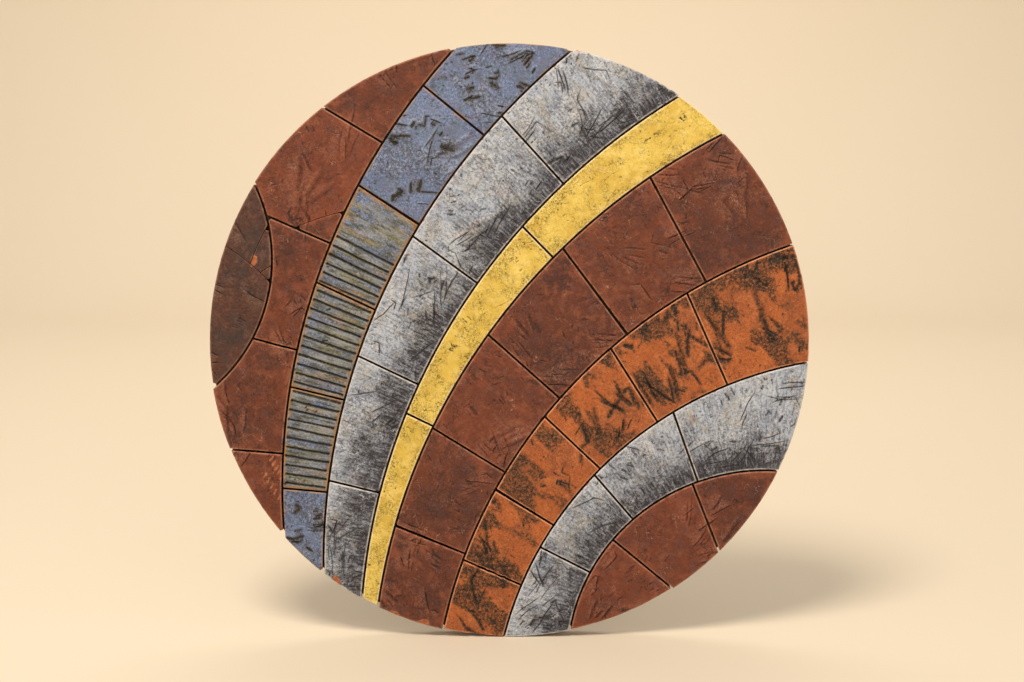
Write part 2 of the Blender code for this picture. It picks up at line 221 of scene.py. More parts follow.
def new_object(name, data):
    """A new object in the scene."""
    made = bpy.data.objects.new(name, data)
    bpy.context.scene.collection.objects.link(made)
    return made


# Uneven surfaces
def chance(column, row, seed):
    """A repeatable value from -1 to 1 for each whole-numbered place."""
    n = column.astype(np.int64) * 374761393 + row.astype(np.int64) * 668265263 + seed * 1274126177
    n = n & 0xFFFFFFFF
    n = ((n ^ (n >> 13)) * 1103515245) & 0xFFFFFFFF
    n = n ^ (n >> 16)
    return (n & 0xFFFF) / 32767.5 - 1.0


def bumps(x, z, size, seed):
    """Smooth bumps of about a size, from -1 to 1."""
    turn = seed * 1.7
    u = (x * math.cos(turn) - z * math.sin(turn)) / size
    v = (x * math.sin(turn) + z * math.cos(turn)) / size
    column, row = np.floor(u), np.floor(v)
    a, b = u - column, v - row
    a, b = a * a * (3 - 2 * a), b * b * (3 - 2 * b)
    near = chance(column, row, seed) * (1 - a) + chance(column + 1, row, seed) * a
    far = chance(column, row + 1, seed) * (1 - a) + chance(column + 1, row + 1, seed) * a
    return near * (1 - b) + far * b


def uneven(x, z, size, seed, octaves=3):
    """Bumps on bumps, each half the size and a little over half the height of those before."""
    total = sum(bumps(x, z, size / 2 ** i, seed + i) * 0.55 ** i for i in range(octaves))
    return total / sum(0.55 ** i for i in range(octaves))


def smooth(value, low, high):
    """From 0 at low to 1 at high, with a soft start and end."""
    t = np.clip((value - low) / (high - low), 0.0, 1.0)
    return t * t * (3 - 2 * t)


def creases(x, z):
    """Hairline creases that wander and fork, 1 along their bottoms, in patches of the slab."""
    winding = uneven(x, z, CREASES.across, 21)
    return np.exp(-(winding / 0.055) ** 2) * smooth(uneven(x, z, 30.0, 25, 2), -0.1, 0.35)


def torn_patches(glaze, x, z):
    """Where a glaze's clay is torn, from 0 to 1, in patches that the tool dragged out to the upper left."""
    along, across = (z - x) * 0.55, (x + z) * 1.1
    return smooth(uneven(along, across, 30.0, 81, 5) + TORN[glaze].spread, -0.06, 0.24)


def pits(glaze, x, z):
    """Furrows that curl round blobs of clay, 1 along their bottoms."""
    return np.exp(-(uneven(x, z, TORN[glaze].size, 85, 2) / 0.15) ** 2)


# The layout
Arc = namedtuple("Arc", "x z radius first turn")


def polar(bearing, share=1.0):
    """The place at a bearing in degrees and a share of the disc's radius."""
    angle = math.radians(bearing)
    return DISC_RADIUS * share * math.cos(angle), DISC_RADIUS * share * math.sin(angle)


def arc_of(cut):
    """The arc that a knife cut follows, which turns by a signed angle from its first bearing."""
    start, end = polar(cut.start), polar(cut.end)
    chord = math.dist(start, end)
    sagitta = abs(cut.bow) * chord
    radius = (chord * chord / 4 + sagitta * sagitta) / (2 * sagitta)
    side = -math.copysign(radius - sagitta, cut.bow) / chord
    x = (start[0] + end[0]) / 2 - (end[1] - start[1]) * side
    z = (start[1] + end[1]) / 2 + (end[0] - start[0]) * side
    turn = -math.copysign(2 * math.asin(chord / 2 / radius), cut.bow)
    return Arc(x, z, radius, math.atan2(start[1] - z, start[0] - x), turn)


ARCS = [arc_of(cut) for cut in CUTS]


def band_of(node):
    """The band that a tile or a fragment is part of."""
    return node.split("_tile")[0].split("_fragment")[0]


def right_hand_arc(node):
    """The cut to the right of a tile, which its band, its ribs and its brush strokes follow."""
    return ARCS[max(BANDS.index(band_of(node)) - 1, 0)]


def back_outline(mesh):
    """The outline of a node's flat back, anticlockwise as seen from the front, in millimetres."""
    co = np.empty(len(mesh.vertices) * 3, np.float32)
    mesh.vertices.foreach_get("co", co)
    co = co.reshape(-1, 3)
    deep = co[:, 1] > co[:, 1].max() - 1e-5
    places = [(float(x), float(z)) for x, _, z in co]
    ways = set()
    for face in mesh.polygons:
        corners = list(face.vertices)
        if all(deep[i] for i in corners):
            ways.update((places[a], places[b]) for a, b in zip(corners, corners[1:] + corners[:1]))
    onward = {b: a for a, b in ways if (b, a) not in ways}
    start = min(onward)
    loop = [start]
    while onward[loop[-1]] != start:
        loop.append(onward[loop[-1]])
    return np.array(loop) / MM


def reached(path):
    """How far along a path each of its points is."""
    return np.concatenate([[0.0], np.cumsum(np.hypot(*np.diff(path, axis=0).T))])


def places_at(path, at):
    """The places on a path at lengths along it."""
    return np.column_stack([np.interp(at, reached(path), path[:, i]) for i in (0, 1)])


def evenly(loop, step):
    """A closed outline with points at even steps."""
    closed = np.vstack([loop, loop[:1]])
    length = reached(closed)[-1]
    return places_at(closed, np.linspace(0.0, length, max(8, round(length / step)), endpoint=False))


def left_of(way):
    """The directions to the left of some ways."""
    way = way / np.maximum(np.hypot(*way.T), 1e-9)[:, None]
    return np.column_stack([-way[:, 1], way[:, 0]])


def inward(loop):
    """The direction into the clay at each point of an outline."""
    return left_of(np.roll(loop, -1, axis=0) - np.roll(loop, 1, axis=0))


def inside(loop, x, z):
    """Which points lie inside an outline."""
    found = np.zeros(len(x), bool)
    for (ax, az), (bx, bz) in zip(loop, np.roll(loop, -1, axis=0)):
        if az != bz:
            crosses = (az > z) != (bz > z)
            found ^= crosses & (x < ax + (z - az) * (bx - ax) / (bz - az))
    return found


def nearest(loop, x, z):
    """For each point, the number of the nearest point of an outline, and how far away it is."""
    number = np.empty(len(x), int)
    gap = np.empty(len(x))
    for start in range(0, len(x), 4000):
        part = slice(start, start + 4000)
        square = (x[part, None] - loop[None, :, 0]) ** 2 + (z[part, None] - loop[None, :, 1]) ** 2
        number[part] = square.argmin(axis=1)
        gap[part] = np.sqrt(square.min(axis=1))
    return number, gap


# Tool marks
Mark = namedtuple("Mark", "path width depth lip fold stain open_ends")


def stroke(draw, start, heading, length, width, work):
    """One mark, which wanders a little as the hand does and sometimes ends in a hook."""
    count = max(2, min(14, round(length / 2.5)))
    hook = count * 2 // 3 if length > HOOKED_LENGTH and draw.random() < HOOK_CHANCE else count + 1
    path = [start]
    for i in range(1, count):
        heading += draw.gauss(0.0, 0.07)
        if i == hook:
            heading += draw.choice((-1, 1)) * draw.uniform(0.7, 1.7)
        x, z = path[-1]
        path.append((x + math.cos(heading) * length / (count - 1),
                     z + math.sin(heading) * length / (count - 1)))
    strength = draw.uniform(0.6, 1.25)
    fold = work.fold * strength * draw.choice((0.2, 1.0, 1.0))
    stain = work.stain * draw.uniform(0.6, 1.0)
    return Mark(np.array(path), width, work.depth * strength, work.lip * strength, fold, stain, False)


def is_prick(mark):
    """Whether a mark is a mere prick of the tool, too short for ends that taper."""
    return len(mark.path) == 2


def marks_of(glaze, outlines, seed):
    """The marks on one band's slab, in small families of strokes that run side by side."""
    draw = random.Random(seed)
    areas = [float(0.5 * abs(np.sum(o[:, 0] * np.roll(o[:, 1], -1) - np.roll(o[:, 0], -1) * o[:, 1])))
             for o in outlines]
    grains = [draw.uniform(0, math.pi) for _ in range(3)]
    found = []
    for work in WORK[glaze]:
        wanted = round(work.number * sum(areas) / 10000.0)
        while wanted > 0:
            loop = draw.choices(outlines, areas)[0]
            low, high = loop.min(axis=0), loop.max(axis=0)
            start = (draw.uniform(low[0], high[0]), draw.uniform(low[1], high[1]))
            if not inside(loop[::4], np.array([start[0]]), np.array([start[1]]))[0]:
                continue
            heading = draw.choice(grains) + draw.gauss(0.0, 0.28)
            for _ in range(draw.choice(FAMILY)):
                length = draw.uniform(*work.length)
                width = draw.uniform(*work.width)
                found.append(stroke(draw, start, heading + draw.gauss(0.0, 0.12), length, width, work))
                away = draw.uniform(*FAMILY_GAP)
                start = (start[0] - math.sin(heading) * away + draw.gauss(0, 3),
                         start[1] + math.cos(heading) * away + draw.gauss(0, 3))
                wanted -= 1
    return found


def band_width(arc, other, out):
    """How far it is from one arc to another along a ray from the first arc's centre."""
    to_x, to_z = arc.x - other.x, arc.z - other.z
    half = to_x * out[0] + to_z * out[1]
    return -half + math.sqrt(half * half - to_x * to_x - to_z * to_z + other.radius ** 2) - arc.radius


def rib_marks(node, seed):
    """The grooves across a ribbed tile, drawn with a wooden tool that was pushed in at both ends."""
    draw = random.Random(seed)
    arc = right_hand_arc(node)
    other = ARCS[BANDS.index(band_of(node))]
    first, last = RIBBED[node]
    length = abs(arc.turn) * arc.radius * (last - first)
    count = max(1, round((length - JOINT) / RIB_PITCH))
    found = []
    for i in range(count):
        angle = arc.first + arc.turn * (first + (last - first) * (i + 0.5) / count)
        out = np.array([math.cos(angle), math.sin(angle)])
        along = np.array([-out[1], out[0]])
        start = JOINT / 2 + draw.uniform(*RIB_STOP)
        end = band_width(arc, other, out) - JOINT / 2 - draw.uniform(*RIB_STOP)
        reaches = np.linspace(start, end, 10)
        wander = np.cumsum([draw.gauss(0.0, 0.12) for _ in reaches])
        path = np.array([arc.x, arc.z]) + (arc.radius + reaches)[:, None] * out + wander[:, None] * along
        strength = draw.uniform(0.8, 1.0)
        found.append(Mark(path, RIB_GROOVE / 2 * draw.uniform(0.62, 0.82), RIB_DEPTH * strength,
                          draw.uniform(0.05, 0.2), 0.0, draw.uniform(0.85, 1.0), True))
        for tip in (path[0], path[-1]):
            push = np.array([tip, tip + 0.5 * out])
            found.append(Mark(push, RIB_GROOVE / 2 * draw.uniform(0.7, 1.0), 0.3, 0.0, 0.0, 1.0, True))
    return found


def tally_strokes():
    """Two rows of short slanting strokes, scratched through the stain by the rim at the lower left."""
    draw = random.Random(SEED)
    found = []
    for share, first, last, count in TALLY_ROWS:
        for bearing in np.linspace(first, last, count):
            x, z = polar(bearing, share)
            lean = math.radians(bearing) + draw.uniform(0.35, 0.6)
            reach = TALLY_STROKE * draw.uniform(0.38, 0.55)
            step = np.array([math.cos(lean), math.sin(lean)]) * reach
            path = np.array([(x, z) - step, (x + draw.gauss(0, 0.2), z), (x, z) + step])
            found.append(Mark(path, TALLY_WIDTH, TALLY_DEPTH, 0.15, 0.0, 1.0, False))
    return found


def distance_to(path, x, z):
    """How far points are from a path, positive on its left, and the share of its length that is nearest."""
    ways = np.diff(path, axis=0)
    lengths = np.maximum(np.hypot(*ways.T), 1e-9)
    starts = np.concatenate([[0.0], np.cumsum(lengths)])
    best = np.full(len(x), np.inf)
    share = np.zeros(len(x))
    for (ax, az), way, length, start in zip(path, ways / lengths[:, None], lengths, starts):
        along = np.clip((x - ax) * way[0] + (z - az) * way[1], 0.0, length)
        gap = np.hypot(x - ax - along * way[0], z - az - along * way[1])
        side = np.where(way[0] * (z - az) - way[1] * (x - ax) < 0, -1.0, 1.0)
        closer = gap < np.abs(best)
        best = np.where(closer, gap * side, best)
        share = np.where(closer, (start + along) / starts[-1], share)
    return best, share


def work_clay(marks, x, z):
    """What marks do at points: the height they add, the stain in them and the stain rubbed around them."""
    height, stain, rubbed = np.zeros(len(x)), np.zeros(len(x)), np.zeros(len(x))
    for mark in marks:
        halo = HALO * (1.0 + mark.width)
        reach = max(halo * 2, FOLD_REACH * 2.5 if mark.fold > 0.1 else 0.0)
        low, high = mark.path.min(axis=0) - reach, mark.path.max(axis=0) + reach
        near = np.flatnonzero((x > low[0]) & (x < high[0]) & (z > low[1]) & (z < high[1]))
        if not len(near):
            continue
        gap, share = distance_to(mark.path, x[near], z[near])
        ends = np.ones(len(near))
        if not (mark.open_ends or is_prick(mark)):
            ends = np.clip(np.minimum(share / TAPER[0], (1 - share) / TAPER[1]), 0, 1)
        wide = gap / mark.width
        groove = np.exp(-1.4 * wide * wide)
        lip = np.exp(-((np.abs(wide) - LIP[0]) / LIP[1]) ** 2) * np.where(gap > 0, 1.0, 0.3)
        fold = smooth(wide, 0.2, 1.6) * np.exp(-np.maximum(gap, 0) / FOLD_REACH)
        height[near] += ends * (mark.lip * lip + mark.fold * fold - mark.depth * groove)
        stain[near] = np.maximum(stain[near], ends ** 0.5 * mark.stain * np.exp(-0.9 * wide * wide))
        if not mark.open_ends:
            spread = min(1.0, mark.width) * (0.5 if is_prick(mark) else 1.0)
            rubbed[near] += spread * ends * mark.stain * np.exp(-(gap / halo) ** 2)
    return height, stain, np.minimum(rubbed, 1.0)


def rows_along(mark):
    """Mesh points in rows along a mark, so that its sides come out clean."""
    if is_prick(mark):
        ring = [(math.cos(a), math.sin(a)) for a in np.arange(6) * math.pi / 3]
        return np.vstack([mark.path.mean(axis=0) + mark.width * 1.1 * np.array(ring), mark.path])
    middle = places_at(mark.path, np.arange(0.0, reached(mark.path)[-1], MARK_STEP))
    if len(middle) > 2:
        left = left_of(np.gradient(middle, axis=0))
    else:
        left = left_of(np.repeat(mark.path[1:2] - mark.path[:1], len(middle), axis=0))
    return np.vstack([middle + left * mark.width * share for share in MARK_ROWS])


# Chips
def chip_shape(chip, x, z):
    """The depth of a chip at points, and how surely they lie in it."""
    cx, cz = polar(chip.bearing, chip.share)
    angle = math.radians(chip.bearing)
    out = (x - cx) * math.cos(angle) + (z - cz) * math.sin(angle)
    along = (z - cz) * math.cos(angle) - (x - cx) * math.sin(angle)
    ragged = 1.0 + 0.55 * uneven(x, z, 5.0, 61, 3)
    far = np.hypot(along / (chip.length / 2), out / (chip.width / 2)) * ragged
    steps = 0.25 * np.round(uneven(x, z, 3.0, 67, 2) * 2.0)
    depth = CHIP_DEPTH * np.clip(1.0 - far ** 1.6, 0.0, None) ** 0.7 + steps * smooth(1.0 - far, 0.0, 0.3)
    return np.maximum(depth, 0.0), smooth(1.0 - far, -0.03, 0.06)


def chip_points(chip):
    """Close mesh points all over a chip."""
    cx, cz = polar(chip.bearing, chip.share)
    reach = max(chip.length, chip.width) * 0.65
    line = np.arange(-reach, reach, CHIP_STEP)
    x, z = np.meshgrid(line, line)
    return np.column_stack([x.ravel() + cx, z.ravel() + cz])


# The tiles
Tile = namedtuple("Tile", "node glaze loop arris")


def read_tile(node, glaze, siblings):
    """A tile's outline, worn a little, with the radius of its front edge along it."""
    cut = back_outline(frame["nodes"][node].data)
    loop = evenly(cut, BORDER_STEP)
    before, after = cut - np.roll(cut, 1, axis=0), np.roll(cut, -1, axis=0) - cut
    turn = np.abs(before[:, 0] * after[:, 1] - before[:, 1] * after[:, 0])
    for corner in cut[turn > 0.35 * np.hypot(*before.T) * np.hypot(*after.T)]:
        closest = np.hypot(*(loop - corner).T).argmin()
        beside = loop[closest - 1] + loop[(closest + 1) % len(loop)]
        loop[closest] = corner + CORNER_WEAR * (beside - 2 * corner)
    crack = np.zeros(len(loop), bool)
    for other in siblings:
        crack |= nearest(other, loop[:, 0], loop[:, 1])[1] < CRACK_REACH
    wander = 0.5 + 0.5 * uneven(loop[:, 0], loop[:, 1], 9.0, 31)
    loop = loop + inward(loop) * (np.where(crack, 0.04, 0.09) * wander)[:, None]
    wear = 1.0 + 0.45 * uneven(loop[:, 0], loop[:, 1], 14.0, 41)
    arris = np.where(crack, CRACK_ARRIS, ARRIS * wear)
    return Tile(node, glaze, loop, arris)


def hexagonal(low, high, step):
    """The places of an even field of points."""
    row_step = step * math.sqrt(3) / 2
    x, z = np.meshgrid(np.arange(low[0], high[0], step), np.arange(low[1], high[1], row_step))
    x[1::2] += step / 2
    return np.column_stack([x.ravel(), z.ravel()])


def face_points(tile, marks, chips):
    """The mesh points of a tile's face, how far each is from the edge, and the radius of the edge there."""
    into = inward(tile.loop)
    rings, gaps, radii = [tile.loop], [np.zeros(len(tile.loop))], [tile.arris]
    shares = [1 - math.cos(a) for a in (math.pi / 6, math.pi / 3, math.pi / 2)]
    for gap in [tile.arris * share for share in shares] + [tile.arris + 0.7]:
        ring = tile.loop + into * gap[:, None]
        far = nearest(tile.loop, ring[:, 0], ring[:, 1])[1]
        kept = far > gap * 0.93
        rings.append(ring[kept])
        gaps.append(gap[kept])
        radii.append(tile.arris[kept])
    low, high = tile.loop.min(axis=0), tile.loop.max(axis=0)
    free = [chip_points(chip) for chip in chips]
    for mark in marks:
        if (mark.path.max(axis=0) > low).all() and (mark.path.min(axis=0) < high).all():
            free.append(rows_along(mark))
    for step, is_torn in ((TORN_STEP, True), (FIELD_STEP, False)):
        field = hexagonal(low, high, step)
        free.append(field[(torn_patches(tile.glaze, *field.T) > 0.25) == is_torn])
    free = np.vstack(free)
    free = free[((free > low) & (free < high)).all(axis=1)]
    cells = np.floor(free / CROWDED).astype(np.int64)
    first = np.unique(cells[:, 0] * 100003 + cells[:, 1], return_index=True)[1]
    free = free[np.sort(first)]
    number, gap = nearest(tile.loop, free[:, 0], free[:, 1])
    away = free - tile.loop[number]
    kept = ((away * into[number]).sum(axis=1) > 0) & (gap > tile.arris[number] + RIM_GAP)
    return (np.vstack(rings + [free[kept]]), np.concatenate(gaps + [gap[kept]]),
            np.concatenate(radii + [tile.arris[number[kept]]]))


def face_of(tile, marks, chips, draw):
    """The face's points, their heights, and the fields that its glaze is painted by."""
    points, gap, radius = face_points(tile, marks, chips)
    x, z = points.T
    worked, stain, rubbed = work_clay(marks, x, z)
    middle = tile.loop.mean(axis=0)
    level = draw.uniform(-SUNK, 0.0)
    lean_x, lean_z = draw.uniform(-LEAN, LEAN), draw.uniform(-LEAN, LEAN)
    height = level - SLAB_LEVEL + lean_x * (x - middle[0]) + lean_z * (z - middle[1])
    height += SWELLS.height * uneven(x, z, SWELLS.across, 3)
    height -= EDGE_FALL.height * np.exp(-gap / EDGE_FALL.across)
    torn = torn_patches(tile.glaze, x, z)
    close = worked + DENTS.height * uneven(x, z, DENTS.across, 5)
    close = close + RIPPLES.height * uneven(x, z, RIPPLES.across, 9, 2) - CREASES.height * creases(x, z)
    close += TORN[tile.glaze].depth * torn * (0.5 - pits(tile.glaze, x, z))
    height += close
    rounding = radius - np.sqrt(np.maximum(radius ** 2 - np.maximum(radius - gap, 0.0) ** 2, 0.0))
    height -= rounding
    nicked = smooth(uneven(x, z, NICKS.across, 91, 3), 0.48, 0.60) * np.exp(-gap / 1.0)
    height -= NICKS.height * nicked
    raw = smooth(nicked, 0.35, 0.6)
    if tile.node == TALLY_TILE:
        scratches, bared, _ = work_clay(tally_strokes(), x, z)
        height += scratches
        raw = np.maximum(raw, smooth(bared, 0.12, 0.45))
    for chip in chips:
        depth, sure = chip_shape(chip, x, z)
        height = np.where(sure > 0.3, np.minimum(height, -depth), height)
        raw = np.maximum(raw, sure)
    height = np.minimum(height, -HIGHEST)
    arc = right_hand_arc(tile.node)
    across = np.hypot(x - arc.x, z - arc.z) - arc.radius
    along = np.unwrap(np.arctan2(z - arc.z, x - arc.x)) * arc.radius
    fields = {
        "groove": stain,
        "rubbed": rubbed,
        "torn": torn,
        "arris": np.exp(-np.maximum(gap - 0.25 * radius, 0.0) / 0.9) * np.where(radius < 0.5, 0.4, 1.0),
        "margin": np.exp(-gap / MARGIN),
        "hollow": np.clip(0.5 - close / 0.8, 0.0, 1.0),
        "tone": np.full(len(x), draw.random()),
        "raw": raw,
        "side": np.zeros(len(x)),
        "joint": np.zeros(len(x)),
    }
    return points, height, fields, np.column_stack([along, across, np.zeros(len(x))])


def fired_tile(tile, marks, chips, draw):
    """One tile as a closed mesh: its worked face, its knife-cut side and its flat back."""
    points, height, fields, brush = face_of(tile, marks, chips, draw)
    count = len(tile.loop)
    border = [(i, (i + 1) % count) for i in range(count)]
    flat = [Vector(point) for point in points * MM]
    placed = delaunay_2d_cdt(flat, border, [], 1, 1e-7)
    source = [first[0] for first in placed[3]]
    faces = [tuple(source[i] for i in face) for face in placed[2]]

    depth = FACE + height
    rows = [np.column_stack([points[:, 0], -depth, points[:, 1]])]
    tear = SIDE_TEAR * np.abs(uneven(*tile.loop.T, 2.5, 71))
    for share in SIDE_ROWS:
        cut = tile.loop + inward(tile.loop) * (tear * (share < 1.0))[:, None]
        rows.append(np.column_stack([cut[:, 0], -(depth[:count] * (1 - share) + BACK * share), cut[:, 1]]))
    total = len(points)
    above = np.arange(count)
    for row in range(len(SIDE_ROWS)):
        below = total + row * count + np.arange(count)
        after_above, after_below = np.roll(above, -1), np.roll(below, -1)
        faces += np.column_stack([above, below, after_below, after_above]).tolist()
        above = below
    faces.append(above[::-1].tolist())

    name = tile.node + "_fired"
    mesh = bpy.data.meshes.new(name)
    mesh.from_pydata((np.vstack(rows) * MM).tolist(), [], faces)
    mesh.update()
    mesh.shade_smooth()
    mesh.set_sharp_from_angle(angle=math.radians(60))
    in_joint = np.where(np.hypot(*tile.loop.T) > DISC_RADIUS - OUTER_SIDE, 0.0, 1.0)
    on_side = {"side": [np.full(count, share) for share in SIDE_ROWS], "joint": [in_joint] * len(SIDE_ROWS)}
    for field, values in fields.items():
        extra = on_side.get(field, [values[:count]] * len(SIDE_ROWS))
        store = mesh.attributes.new(field, "FLOAT", "POINT")
        store.data.foreach_set("value", np.concatenate([values, *extra]).astype(np.float32))
    store = mesh.attributes.new("brush", "FLOAT_VECTOR", "POINT")
    around = np.vstack([brush] + [brush[:count]] * len(SIDE_ROWS)) * MM
    store.data.foreach_set("vector", around.astype(np.float32).ravel())
    return new_object(name, mesh)


# Materials
def colour(hex_value):
    """An sRGB hex value as the linear colour that the shader works in."""
    parts = [int(hex_value[i:i + 2], 16) / 255 for i in (0, 2, 4)]
    return [c / 12.92 if c <= 0.04045 else ((c + 0.055) / 1.055) ** 2.4 for c in parts] + [1.0]


def add(tree, kind, inputs, output=0, **settings):
    """Adds a node with its settings, with a value or a link for each input, and returns an output."""
    node = tree.nodes.new("ShaderNode" + kind)
    for name, value in settings.items():
        setattr(node, name, value)
    for name, value in inputs.items():
        if isinstance(value, bpy.types.NodeSocket):
            tree.links.new(value, node.inputs[name])
        else:
            node.inputs[name].default_value = value
    return node.outputs[output]


# The sockets of a node that mixes two colours
SHARE, UNDER, OVER, MIXED = 0, 6, 7, 2


def per_metre(size_mm):
    """The scale of a pattern that repeats about every so many millimetres."""
    return 1.0 / (size_mm * MM)


# What the clay tells its glaze, from 0 to 1: the stain in a mark and rubbed round it, torn places, hollows
# (0.5 is level), the rounded front edge, nearness to it, the tile's own tone, raw clay, a cut side, a joint
FIELDS = ("groove", "rubbed", "torn", "hollow", "arris", "margin", "tone", "raw", "side", "joint")
Clay = namedtuple("Clay", ("material", "tree", "place", "brush", *FIELDS))
Wood = namedtuple("Wood", "tree place")


def new_material(name):
    """A new material and its nodes."""
    material = bpy.data.materials.new(name)
    material.use_nodes = True
    return material, material.node_tree


def start_clay(name):
    """A new material, with the fields that the clay was worked and painted by."""
    material, tree = new_material(name)
    fields = [add(tree, "Attribute", {}, "Fac", attribute_name=field) for field in FIELDS]
    place = add(tree, "TexCoord", {}, "Object")
    brush = add(tree, "Attribute", {}, "Vector", attribute_name="brush")
    return Clay(material, tree, place, brush, *fields)


def clouds(clay, size_mm, seed, detail=4.0, rough=0.6, place=None):
    """Clouds about a size across that run from about 0.25 to 0.75, and differ with the seed."""
    moved = add(clay.tree, "VectorMath", {0: place or clay.place, 1: (0.0, seed, 0.0)})
    return add(clay.tree, "TexNoise", {"Vector": moved, "Scale": per_metre(size_mm), "Detail": detail,
                                       "Roughness": rough})


def curls(clay, size_mm, seed):
    """How far a place is from thin lines that curl round blobs of about a size, as dragged grit leaves."""
    tree = clay.tree
    middle = add(tree, "Math", {0: clouds(clay, size_mm, seed), 1: 0.5}, operation="SUBTRACT")
    return add(tree, "Math", {0: middle}, operation="ABSOLUTE")


def lay(clay, under, over, *masks, strength=1.0):
    """Lays a colour over another where all its masks meet.

    A mask is a value, its levels for 0 and 1, and perhaps a field that raises the value and by how much.
    """
    share = strength
    for value, none, full, *lift in masks:
        if lift:
            field, gain = lift
            value = add(clay.tree, "Math", {0: field, 1: gain, 2: value}, operation="MULTIPLY_ADD")
        level = add(clay.tree, "MapRange", {"Value": value, "From Min": none, "From Max": full})
        share = add(clay.tree, "Math", {0: level, 1: share}, operation="MULTIPLY")
    under, over = [c if isinstance(c, bpy.types.NodeSocket) else colour(c) for c in (under, over)]
    return add(clay.tree, "Mix", {SHARE: share, UNDER: under, OVER: over}, MIXED, data_type="RGBA")


def coats(clay, skin, *layers):
    """Lays coats of colour one on another. Each is its colour, its strength and its masks."""
    for over, strength, *masks in layers:
        skin = lay(clay, skin, over, *masks, strength=strength)
    return skin


def finish(tree, skin, gloss, bump):
    """Gives a surface its colour, its roughness and its fine relief."""
    shader = tree.nodes["Principled BSDF"]
    for place, source in (("Base Color", skin), ("Roughness", gloss), ("Normal", bump)):
        tree.links.new(source, shader.inputs[place])
    return shader


def finish_clay(clay, glazed, roughness, stained_side, grain=0.25):
    """Adds bare clay at chips and on cut sides, the dark wash in the joints (partly stain, partly painted
    shade), and the clay's grain.
    """
    tree = clay.tree
    bare = lay(clay, "8A4A2C", "B87450", (clouds(clay, 3.0, 3), 0.3, 0.7))
    side_clay = lay(clay, bare, stained_side, (clouds(clay, 9.0, 5), 0.35, 0.62))
    skin = coats(
        clay, glazed,
        (side_clay, 1.0, (clay.side, 0.0, 0.05, clouds(clay, 7.0, 6), -0.30)),
        # near black on the sides inside the joints: partly stain washed in, partly painted shade in the gap
        ("1B1210", 1.0, (clay.joint, 0.0, 1.0)),
        (bare, 1.0, (clay.raw, 0.0, 1.0)),
    )
    # The sand in such clay is 0.2 to 0.5 mm across, too fine to show, so it is drawn at 1.1 and 3.4 mm
    fine = clouds(clay, 1.1, 7)
    coarse = clouds(clay, 3.4, 8)
    relief = add(tree, "Math", {0: fine, 1: 0.45, 2: coarse}, operation="MULTIPLY_ADD")
    bump = add(tree, "Bump", {"Height": relief, "Distance": grain * MM * 4, "Strength": 0.9})
    gloss = add(tree, "MapRange", {"Value": coarse, "From Min": 0.3, "From Max": 0.7,
                                   "To Min": roughness - 0.07, "To Max": roughness + 0.09})
    shader = finish(tree, skin, gloss, bump)
    shader.inputs["IOR"].default_value = 1.5
    shader.inputs["Specular IOR Level"].default_value = 0.3
    shader.inputs["Metallic"].default_value = 0.0
    return clay.material


def oxide_washed_terracotta():
    """Red clay under a wash of iron oxide: a dull red brown that is greyer where the wash lies thick."""
    clay = start_clay("oxide_washed_terracotta")
    grit = clouds(clay, 2.8, 1, 5.0, 0.75)
    fine = clouds(clay, 1.7, 2, 5.0, 0.75)
    skin = coats(
        clay, "63311D",
        ("48271F", 0.9, (clouds(clay, 62.0, 11), 0.44, 0.60)),
        ("773A22", 0.75, (clay.tone, 0.50, 1.0)),
        ("4C2921", 0.85, (clay.tone, 0.45, 0.0), (clouds(clay, 30.0, 18), 0.38, 0.56)),
        ("814228", 0.7, (clouds(clay, 14.0, 19), 0.58, 0.74, clay.margin, 0.2)),
        ("884D33", 0.7, (clouds(clay, 8.0, 12), 0.48, 0.66), (clouds(clay, 40.0, 13), 0.40, 0.60)),
        ("584041", 0.6, (clouds(clay, 13.0, 14), 0.50, 0.68), (fine, 0.35, 0.6)),
        ("3E2219", 0.75, (grit, 0.50, 0.66), (clouds(clay, 24.0, 15), 0.36, 0.60)),
        ("8B5339", 0.45, (fine, 0.54, 0.70)),
        ("371E17", 0.85, (clay.hollow, 0.56, 0.90), (grit, 0.35, 0.55)),
        ("94604A", 0.5, (clay.hollow, 0.40, 0.10), (fine, 0.40, 0.60)),
        ("33201A", 0.75, (curls(clay, 4.2, 16), 0.035, 0.0), (clay.torn, 0.1, 0.8)),
        ("2C1A15", 0.8, (curls(clay, 34.0, 28), 0.0080, 0.0015), (clouds(clay, 26.0, 29), 0.48, 0.56)),
        ("B08A72", 0.75, (curls(clay, 30.0, 20), 0.0050, 0.0), (clouds(clay, 20.0, 26), 0.50, 0.62)),
        ("30201A", 1.0, (grit, 0.66, 0.72, clay.rubbed, 0.16)),
        ("281712", 1.0, (grit, 0.76, 0.96, clay.groove, 0.5)),
        # paler along the rounded front edge: partly worn wash, partly a painted highlight
        ("A9765E", 0.8, (clay.arris, 0.15, 0.65), (clouds(clay, 6.0, 17), 0.32, 0.54)),
    )
    return finish_clay(clay, skin, 0.58, "4A2820")


